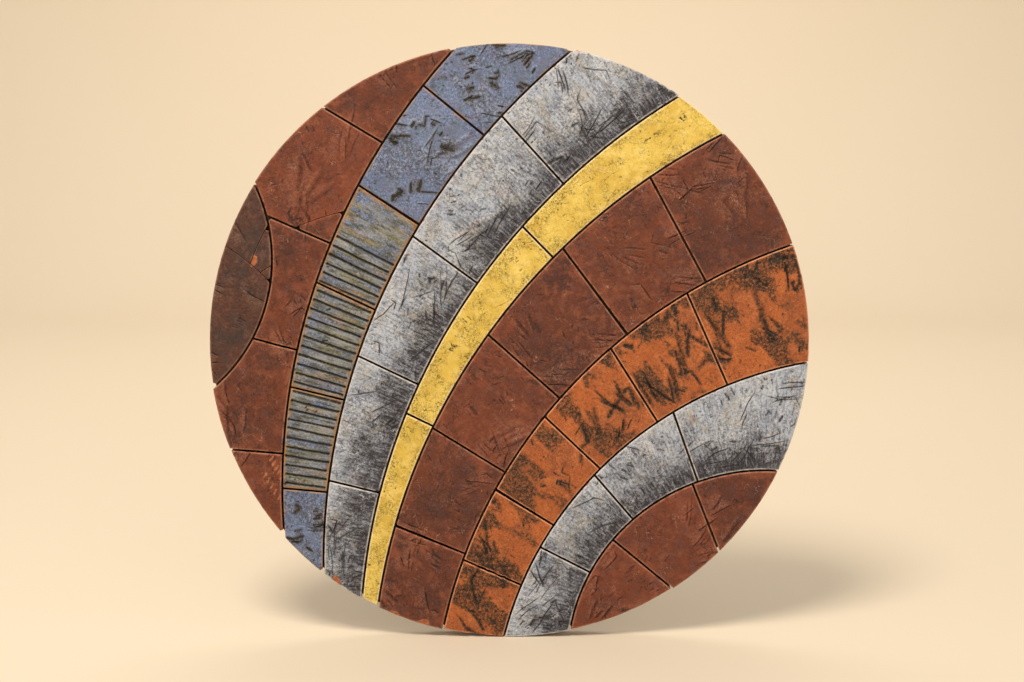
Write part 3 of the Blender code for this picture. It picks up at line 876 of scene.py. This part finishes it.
def manganese_washed_terracotta():
    """Red clay under a wash of manganese: a dark purplish brown with paler worn places and a painted
    highlight on its edges.
    """
    clay = start_clay("manganese_washed_terracotta")
    grit = clouds(clay, 2.8, 1, 5.0, 0.75)
    fine = clouds(clay, 1.7, 2, 5.0, 0.75)
    skin = coats(
        clay, "533022",
        ("42302A", 1.0, (clouds(clay, 34.0, 11), 0.40, 0.60)),
        ("6C483C", 0.8, (clouds(clay, 8.0, 12), 0.46, 0.66), (clouds(clay, 30.0, 13), 0.40, 0.60)),
        ("564A4C", 0.6, (clouds(clay, 9.0, 14), 0.52, 0.70), (fine, 0.40, 0.60)),
        ("30201A", 0.75, (grit, 0.48, 0.64)),
        ("2B1D18", 0.85, (clay.hollow, 0.56, 0.90), (grit, 0.35, 0.55)),
        ("7E5C4C", 0.7, (clay.hollow, 0.40, 0.10), (fine, 0.40, 0.60)),
        ("251915", 1.0, (grit, 0.66, 0.72, clay.rubbed, 0.16)),
        ("1F1512", 1.0, (grit, 0.76, 0.96, clay.groove, 0.5)),
        # paler along the rounded front edge: partly worn wash, partly a painted highlight
        ("8F6856", 0.8, (clay.arris, 0.15, 0.65), (clouds(clay, 6.0, 17), 0.32, 0.54)),
    )
    return finish_clay(clay, skin, 0.58, "33221E")


def brushed_slip_over_manganese():
    """Pale slip brushed dry over a dark wash: streaks run away from the dark edge, and marks stay black."""
    clay = start_clay("brushed_slip_over_manganese")
    tree = clay.tree
    straight = add(tree, "Mapping", {"Vector": clay.brush, "Scale": (1.0, 0.15, 1.0)})
    slanted = add(tree, "Mapping", {"Vector": clay.brush, "Rotation": (0.0, 0.0, 0.9),
                                    "Scale": (1.0, 0.12, 1.0)})
    grit = clouds(clay, 2.0, 1, 5.0, 0.8)
    streaks = clouds(clay, 2.2, 2, 5.0, 0.75, straight)
    scrubs = clouds(clay, 2.2, 3, 4.0, 0.7, slanted)
    strokes = add(tree, "Math", {0: streaks, 1: 0.8, 2: grit}, operation="MULTIPLY_ADD")
    across = add(tree, "SeparateXYZ", {"Vector": clay.brush}, "Y")
    shifted = add(tree, "Math", {0: clouds(clay, 34.0, 4), 1: 0.110, 2: across}, operation="MULTIPLY_ADD")
    dark = add(tree, "MapRange", {"Value": shifted, "From Min": 0.050, "From Max": 0.120, "To Min": 1.0,
                                  "To Max": 0.0}, interpolation_type="SMOOTHSTEP")
    pale = coats(
        clay, "B2B8C2",
        ("9CA6B8", 1.0, (clouds(clay, 30.0, 11), 0.40, 0.60)),
        ("CDD2DB", 0.45, (scrubs, 0.50, 0.62)),
        ("CACCD3", 0.5, (grit, 0.52, 0.64)),
        ("686A73", 0.45, (streaks, 0.47, 0.36)),
        ("6C6E76", 0.42, (grit, 0.48, 0.36)),
        ("A09268", 0.6, (clouds(clay, 18.0, 12), 0.53, 0.66), (streaks, 0.40, 0.6)),
        ("B48E78", 0.55, (clouds(clay, 21.0, 13), 0.58, 0.70), (grit, 0.40, 0.6)),
    )
    skin = coats(
        clay, lay(clay, "262225", "3D3B44", (streaks, 0.40, 0.60)),
        (pale, 1.0, (strokes, 0.52, 0.96, dark, -0.40)),
        ("8A8D99", 0.55, (scrubs, 0.56, 0.64), (dark, 0.2, 0.8)),
        ("D2D5DC", 0.75, (curls(clay, 30.0, 20), 0.0050, 0.0), (clouds(clay, 20.0, 26), 0.48, 0.60)),
        ("2E2A2C", 0.75, (curls(clay, 36.0, 28), 0.0070, 0.0015), (clouds(clay, 26.0, 29), 0.48, 0.56)),
        ("4E4A4D", 0.55, (clay.hollow, 0.58, 0.90), (grit, 0.38, 0.56)),
        ("D2CCC8", 0.7, (clay.hollow, 0.40, 0.08), (grit, 0.42, 0.60), (dark, 0.9, 0.2)),
        ("332E2D", 0.6, (curls(clay, 3.8, 16), 0.040, 0.0), (clay.torn, 0.1, 0.8)),
        ("343033", 0.8, (grit, 0.66, 0.73, clay.rubbed, 0.18)),
        ("282528", 0.88, (grit, 0.69, 0.85, clay.groove, 0.5)),
        # paler along the rounded front edge: partly worn slip, partly a painted highlight
        ("D2CECE", 0.8, (clay.arris, 0.15, 0.65), (clouds(clay, 6.0, 17), 0.32, 0.54)),
    )
    return finish_clay(clay, skin, 0.60, "3E383C")


def satin_yellow_glaze():
    """A satin glaze over stained pits: warm yellow, ochre where it is thin, olive specks near the edges."""
    clay = start_clay("satin_yellow_glaze")
    grit = clouds(clay, 2.4, 1, 5.0, 0.75)
    patches = clouds(clay, 15.0, 15)
    skin = coats(
        clay, "DCBE5C",
        ("CDAC48", 1.0, (clouds(clay, 26.0, 11), 0.40, 0.60)),
        ("ECD284", 0.5, (clouds(clay, 9.0, 12), 0.50, 0.68)),
        ("B58C3A", 0.5, (clouds(clay, 14.0, 13), 0.52, 0.68), (grit, 0.36, 0.60)),
        ("A48F3E", 0.7, (grit, 0.48, 0.64), (clouds(clay, 20.0, 14), 0.40, 0.62)),
        ("8F7A34", 0.75, (clay.hollow, 0.60, 0.92), (grit, 0.38, 0.56)),
        ("F2DA96", 0.6, (clay.hollow, 0.40, 0.08), (grit, 0.40, 0.60)),
        ("6B5D2C", 0.8, (curls(clay, 3.2, 16), 0.050, 0.0), (patches, 0.50, 0.66, clay.margin, 0.18)),
        ("463D1C", 1.0, (clouds(clay, 1.9, 2, 5.0, 0.75), 0.54, 0.61),
         (patches, 0.54, 0.68, clay.margin, 0.18)),
        ("3B3518", 1.0, (grit, 0.68, 0.74, clay.rubbed, 0.16)),
        ("332D17", 1.0, (grit, 0.72, 0.92, clay.groove, 0.5)),
        # paler along the rounded front edge: partly thin glaze, partly a painted highlight
        ("F2DCA6", 0.8, (clay.arris, 0.15, 0.65), (clouds(clay, 7.0, 17), 0.30, 0.52)),
    )
    return finish_clay(clay, skin, 0.44, "6A4E2A", 0.18)


def rubbed_terracotta():
    """Bare terracotta with black stain rubbed into its gouges and torn places and wiped off the rest."""
    clay = start_clay("rubbed_terracotta")
    grit = clouds(clay, 2.8, 1, 5.0, 0.75)
    fine = clouds(clay, 1.7, 2, 5.0, 0.75)
    patch = add(clay.tree, "Math", {0: clay.rubbed, 1: 0.5, 2: clay.torn}, operation="MULTIPLY_ADD")
    skin = coats(
        clay, "A65728",
        ("8E4C2A", 1.0, (clouds(clay, 40.0, 11), 0.40, 0.60)),
        ("BD6C3A", 0.7, (clouds(clay, 11.0, 12), 0.48, 0.66), (fine, 0.34, 0.56)),
        ("6C3E20", 0.65, (grit, 0.49, 0.62)),
        ("CC7F49", 0.5, (fine, 0.53, 0.65)),
        ("3B2A1A", 0.85, (clay.hollow, 0.54, 0.90), (grit, 0.36, 0.58)),
        ("BD6E3D", 0.75, (clay.hollow, 0.42, 0.12), (fine, 0.38, 0.58)),
        ("54381F", 0.7, (patch, 0.1, 0.9), (fine, 0.40, 0.58)),
        ("2A2419", 0.9, (curls(clay, 4.4, 16), 0.060, 0.010), (patch, 0.1, 0.8)),
        ("2D2619", 0.6, (curls(clay, 2.6, 27), 0.045, 0.0), (patch, 0.2, 1.0)),
        ("211D17", 0.9, (grit, 0.63, 0.72, patch, 0.12)),
        ("1E1B16", 0.95, (grit, 0.70, 0.92, clay.groove, 0.5)),
        # paler along the rounded front edge: partly wear, partly a painted highlight
        ("D2926C", 0.9, (clay.arris, 0.2, 0.7), (clouds(clay, 9.0, 17), 0.30, 0.50)),
    )
    return finish_clay(clay, skin, 0.60, "4A2E1C")


def blue_slip(clay, grit):
    """Cobalt slip, brushed thin: grey blue with lilac and green grey shifts."""
    return coats(
        clay, "5B688A",
        ("6A789A", 1.0, (clouds(clay, 40.0, 11), 0.40, 0.60)),
        ("6E6C86", 0.8, (clouds(clay, 11.0, 12), 0.50, 0.68)),
        ("526A74", 0.8, (clouds(clay, 15.0, 13), 0.50, 0.66), (grit, 0.35, 0.6)),
        ("94A0C0", 0.75, (grit, 0.51, 0.64)),
        ("39404E", 0.8, (grit, 0.49, 0.34)),
        ("545046", 0.7, (clouds(clay, 20.0, 14), 0.48, 0.64), (grit, 0.44, 0.60)),
    )


def brushed_blue_slip():
    """Blue slip with brown stain left in its short gouges, and bare clay along the cut edges."""
    clay = start_clay("brushed_blue_slip")
    grit = clouds(clay, 2.2, 1, 5.0, 0.8)
    skin = coats(
        clay, blue_slip(clay, grit),
        ("464440", 0.85, (clay.hollow, 0.60, 0.86), (grit, 0.38, 0.56)),
        ("9AA3B6", 0.7, (clay.hollow, 0.40, 0.10), (grit, 0.40, 0.60)),
        ("4A4334", 0.7, (clay.rubbed, 0.35, 0.70), (grit, 0.42, 0.54)),
        ("38301F", 0.9, (curls(clay, 4.0, 16), 0.050, 0.0), (clay.torn, 0.1, 0.8)),
        ("3A3324", 0.8, (curls(clay, 28.0, 28), 0.0090, 0.0015), (clouds(clay, 22.0, 29), 0.46, 0.55)),
        ("352E20", 1.0, (grit, 0.66, 0.72, clay.rubbed, 0.18)),
        ("2A2417", 1.0, (grit, 0.69, 0.82, clay.groove, 0.5)),
        ("B48C6A", 0.9, (clay.arris, 0.2, 1.0), (clouds(clay, 12.0, 17), 0.40, 0.58)),
    )
    return finish_clay(clay, skin, 0.60, "57402F")


def ribbed_blue_slip():
    """Blue slip over ribs, rubbed back to olive and ochre, with black brown stain in the grooves."""
    clay = start_clay("ribbed_blue_slip")
    along_rib = add(clay.tree, "Mapping", {"Vector": clay.brush, "Scale": (1.0, 0.15, 1.0)})
    grit = clouds(clay, 2.4, 1, 5.0, 0.75)
    streak = clouds(clay, 3.0, 2, 5.0, 0.7, along_rib)
    skin = coats(
        clay, blue_slip(clay, grit),
        ("8F8E86", 0.8, (clouds(clay, 9.0, 21, place=along_rib), 0.42, 0.60)),
        ("6F6A42", 1.0, (clouds(clay, 7.0, 22, place=along_rib), 0.50, 0.66)),
        ("9A7342", 1.0, (clouds(clay, 8.0, 23, place=along_rib), 0.56, 0.70)),
        ("43422F", 0.9, (streak, 0.49, 0.61)),
        ("A3A6A8", 0.5, (grit, 0.53, 0.62)),
        ("3F3D2E", 0.85, (clay.hollow, 0.56, 0.86), (grit, 0.34, 0.54)),
        ("AEABA0", 0.65, (clay.hollow, 0.44, 0.12), (streak, 0.52, 0.40)),
        ("9A6F42", 0.85, (clay.margin, 0.60, 0.85), (clouds(clay, 9.0, 24), 0.36, 0.58)),
        ("2E2B1D", 0.8, (curls(clay, 3.6, 16), 0.040, 0.0), (clouds(clay, 16.0, 25), 0.46, 0.60)),
        ("1D1B12", 1.0, (grit, 0.62, 0.92, clay.groove, 0.6)),
        ("B68C5A", 0.85, (clay.arris, 0.2, 1.0), (clouds(clay, 12.0, 17), 0.38, 0.56)),
    )
    return finish_clay(clay, skin, 0.60, "57402F")


def stained_plywood():
    """Birch plywood under a dark stain: long upright grain on its faces, and thin layers round its edge."""
    material, tree = new_material("stained_plywood")
    place = add(tree, "TexCoord", {}, "Object")
    wood = Wood(tree, place)
    upright = add(tree, "Mapping", {"Vector": place, "Scale": (1.0, 1.0, 0.045)})
    # The pores of birch are 0.1 mm wide, too fine to show, so the grain is drawn at 3 mm
    grain = clouds(wood, 3.0, 0, 6.0, 0.65, upright)
    figure = add(tree, "TexNoise", {"Vector": upright, "Scale": per_metre(16.0), "Detail": 2.0,
                                    "Distortion": 1.2})
    rings = add(tree, "Math", {0: figure, 1: 9.0}, operation="MULTIPLY")
    bands = add(tree, "Math", {0: rings, 1: 1.0}, operation="PINGPONG")
    face = coats(
        wood, "33241A",
        ("6E523C", 1.0, (grain, 0.34, 0.68)),
        ("4A3424", 0.6, (bands, 0.0, 1.0)),
    )
    depth = add(tree, "SeparateXYZ", {"Vector": place}, "Y")
    layer = add(tree, "Math", {0: depth, 1: per_metre(PLY)}, operation="MULTIPLY")
    turned = add(tree, "Math", {0: layer, 1: 1.0}, operation="PINGPONG")
    plies = lay(wood, "3A281C", "6E5038", (turned, 0.42, 0.58))
    facing = add(tree, "NewGeometry", {}, "Normal")
    outward = add(tree, "SeparateXYZ", {"Vector": facing}, "Y")
    flat = add(tree, "Math", {0: outward}, operation="ABSOLUTE")
    board = lay(wood, plies, face, (flat, 0.4, 0.6))
    bump = add(tree, "Bump", {"Height": grain, "Distance": 0.15 * MM, "Strength": 0.6})
    gloss = add(tree, "MapRange", {"Value": grain, "To Min": 0.62, "To Max": 0.85})
    finish(tree, board, gloss, bump)
    return material


# Making the object
def chips_of(tile, band):
    """The chips that reach into a tile."""
    found = []
    for chip in (LOST_CHIP, *RIM_CHIPS):
        x, z = polar(chip.bearing, chip.share)
        near = nearest(tile.loop, np.array([x]), np.array([z]))[1][0] < CHIP_NEAR
        if near and (chip is not LOST_CHIP or band == "dark_rim"):
            found.append(chip)
    return found


def make_tiles():
    """Every fired tile, in the place of its own solid."""
    slots = {part["node"]: part["material_slot"] for part in frame["record"]["subparts"]}
    nodes = [node for node in slots if node != "backing_board"]
    raw_loops = {node: evenly(back_outline(frame["nodes"][node].data), BORDER_STEP) for node in nodes}
    looks = {
        "brown": oxide_washed_terracotta(),
        "dark_brown": manganese_washed_terracotta(),
        "grey": brushed_slip_over_manganese(),
        "yellow": satin_yellow_glaze(),
        "orange": rubbed_terracotta(),
        "blue": brushed_blue_slip(),
        "ribbed_blue": ribbed_blue_slip(),
    }
    for number, band in enumerate(BANDS):
        members = [node for node in nodes if band_of(node) == band]
        draw = random.Random(SEED * 100 + number)
        for glaze in sorted({slots[node] for node in members}):
            same = [node for node in members if slots[node] == glaze]
            marks = marks_of(glaze, [raw_loops[node] for node in same], SEED * 1000 + number)
            for node in same:
                siblings = [raw_loops[other] for other in same if other != node]
                tile = read_tile(node, glaze, siblings)
                own = marks + (rib_marks(node, SEED + number) if node in RIBBED else [])
                piece = fired_tile(tile, own, chips_of(tile, band), draw)
                piece.data.materials.append(looks[glaze])
                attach(piece, "root")
                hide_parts(node)


def make_board():
    """The round board behind the tiles, sawn from plywood with its sharp edges taken off."""
    low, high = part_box("backing_board")
    radius = (high.x - low.x) / 2
    thickness = high.y - low.y
    form = bmesh.new()
    bmesh.ops.create_cone(form, cap_ends=True, segments=300, radius1=radius, radius2=radius,
                          depth=thickness, matrix=Matrix.Rotation(math.pi / 2, 4, "X"))
    rim = [edge for edge in form.edges if abs(edge.verts[0].co.y - edge.verts[1].co.y) < thickness / 2]
    bmesh.ops.bevel(form, geom=rim, offset=BOARD_EASE * MM, segments=2, affect="EDGES", profile=0.6)
    mesh = bpy.data.meshes.new("plywood_board")
    form.to_mesh(mesh)
    form.free()
    mesh.shade_smooth()
    mesh.set_sharp_from_angle(angle=math.radians(35))
    board = new_object("plywood_board", mesh)
    board.location = (0.0, (low.y + high.y) / 2, 0.0)
    mesh.materials.append(stained_plywood())
    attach(board, "root")
    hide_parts("backing_board")


# The studio
CAMERA_AWAY = 1.80
CAMERA_UP = math.radians(8.1)       # the disc spans 598 by 592 pixels in the photograph
LENS = 62.5
DISC_MIDDLE = (509.0, 343.5)        # pixel of the disc's middle in the photograph
FRAME_SIZE = (1024.0, 682.0)
FLOOR_GAP = 0.0004                  # between the floor and the disc


def make_camera():
    """The camera, where the photograph was taken from."""
    data = bpy.data.cameras.new("camera")
    camera = new_object("camera", data)
    data.lens = LENS
    data.sensor_width = 36.0
    data.shift_x = (FRAME_SIZE[0] / 2 - DISC_MIDDLE[0]) / FRAME_SIZE[0]
    data.shift_y = (DISC_MIDDLE[1] - FRAME_SIZE[1] / 2) / FRAME_SIZE[0]
    camera.location = (0.0, -CAMERA_AWAY * math.cos(CAMERA_UP), CAMERA_AWAY * math.sin(CAMERA_UP))
    camera.rotation_euler = (math.pi / 2 - CAMERA_UP, 0.0, 0.0)
    bpy.context.scene.camera = camera


def studio_light(name, place, size, power, tint, aim=(0.0, 0.0, 0.0)):
    """A soft round light that faces a place."""
    data = bpy.data.lights.new(name, "AREA")
    data.shape = "DISK"
    data.size = size
    data.energy = power
    data.color = colour(tint)[:3]
    light = new_object(name, data)
    light.location = place
    light.rotation_euler = (Vector(aim) - Vector(place)).to_track_quat("-Z", "Y").to_euler()


def make_studio():
    """A plain pale floor that sweeps up far behind, and soft light from above and in front."""
    floor_level = cad_box[0].z - FLOOR_GAP
    far, rise, turn_radius, half = 3.4, 3.0, 0.9, 14.0
    profile = [(-half, 0.0), (far - turn_radius, 0.0)]
    profile += [(far - turn_radius + turn_radius * math.sin(a), turn_radius * (1 - math.cos(a)))
                for a in np.linspace(0, math.pi / 2, 24)[1:]]
    profile.append((far, rise))
    vertices = [(x, y, floor_level + z) for y, z in profile for x in (-half, half)]
    faces = [(2 * i, 2 * i + 1, 2 * i + 3, 2 * i + 2) for i in range(len(profile) - 1)]
    mesh = bpy.data.meshes.new("floor")
    mesh.from_pydata(vertices, [], faces)
    mesh.shade_smooth()
    floor = new_object("floor", mesh)
    material, tree = new_material("pale_paper")
    shader = tree.nodes["Principled BSDF"]
    shader.inputs["Base Color"].default_value = colour("D9CDBA")
    shader.inputs["Roughness"].default_value = 0.9
    mesh.materials.append(material)

    studio_light("key", (-0.6, -1.35, 2.2), 0.9, 66.0, "FFF1DE")
    studio_light("fill", (1.2, -2.6, 0.7), 1.6, 16.0, "F6F2EA")
    studio_light("sweep_light", (0.0, 1.5, 2.6), 2.4, 58.0, "FFF0DC", (0.0, 3.4, 0.6))
    world = bpy.data.worlds.new("studio")
    world.use_nodes = True
    back = world.node_tree.nodes["Background"]
    back.inputs["Color"].default_value = colour("EFEAE2")
    back.inputs["Strength"].default_value = 0.62
    bpy.context.scene.world = world
    bpy.context.scene.view_settings.view_transform = "Standard"


make_camera()
make_studio()
make_board()
make_tiles()
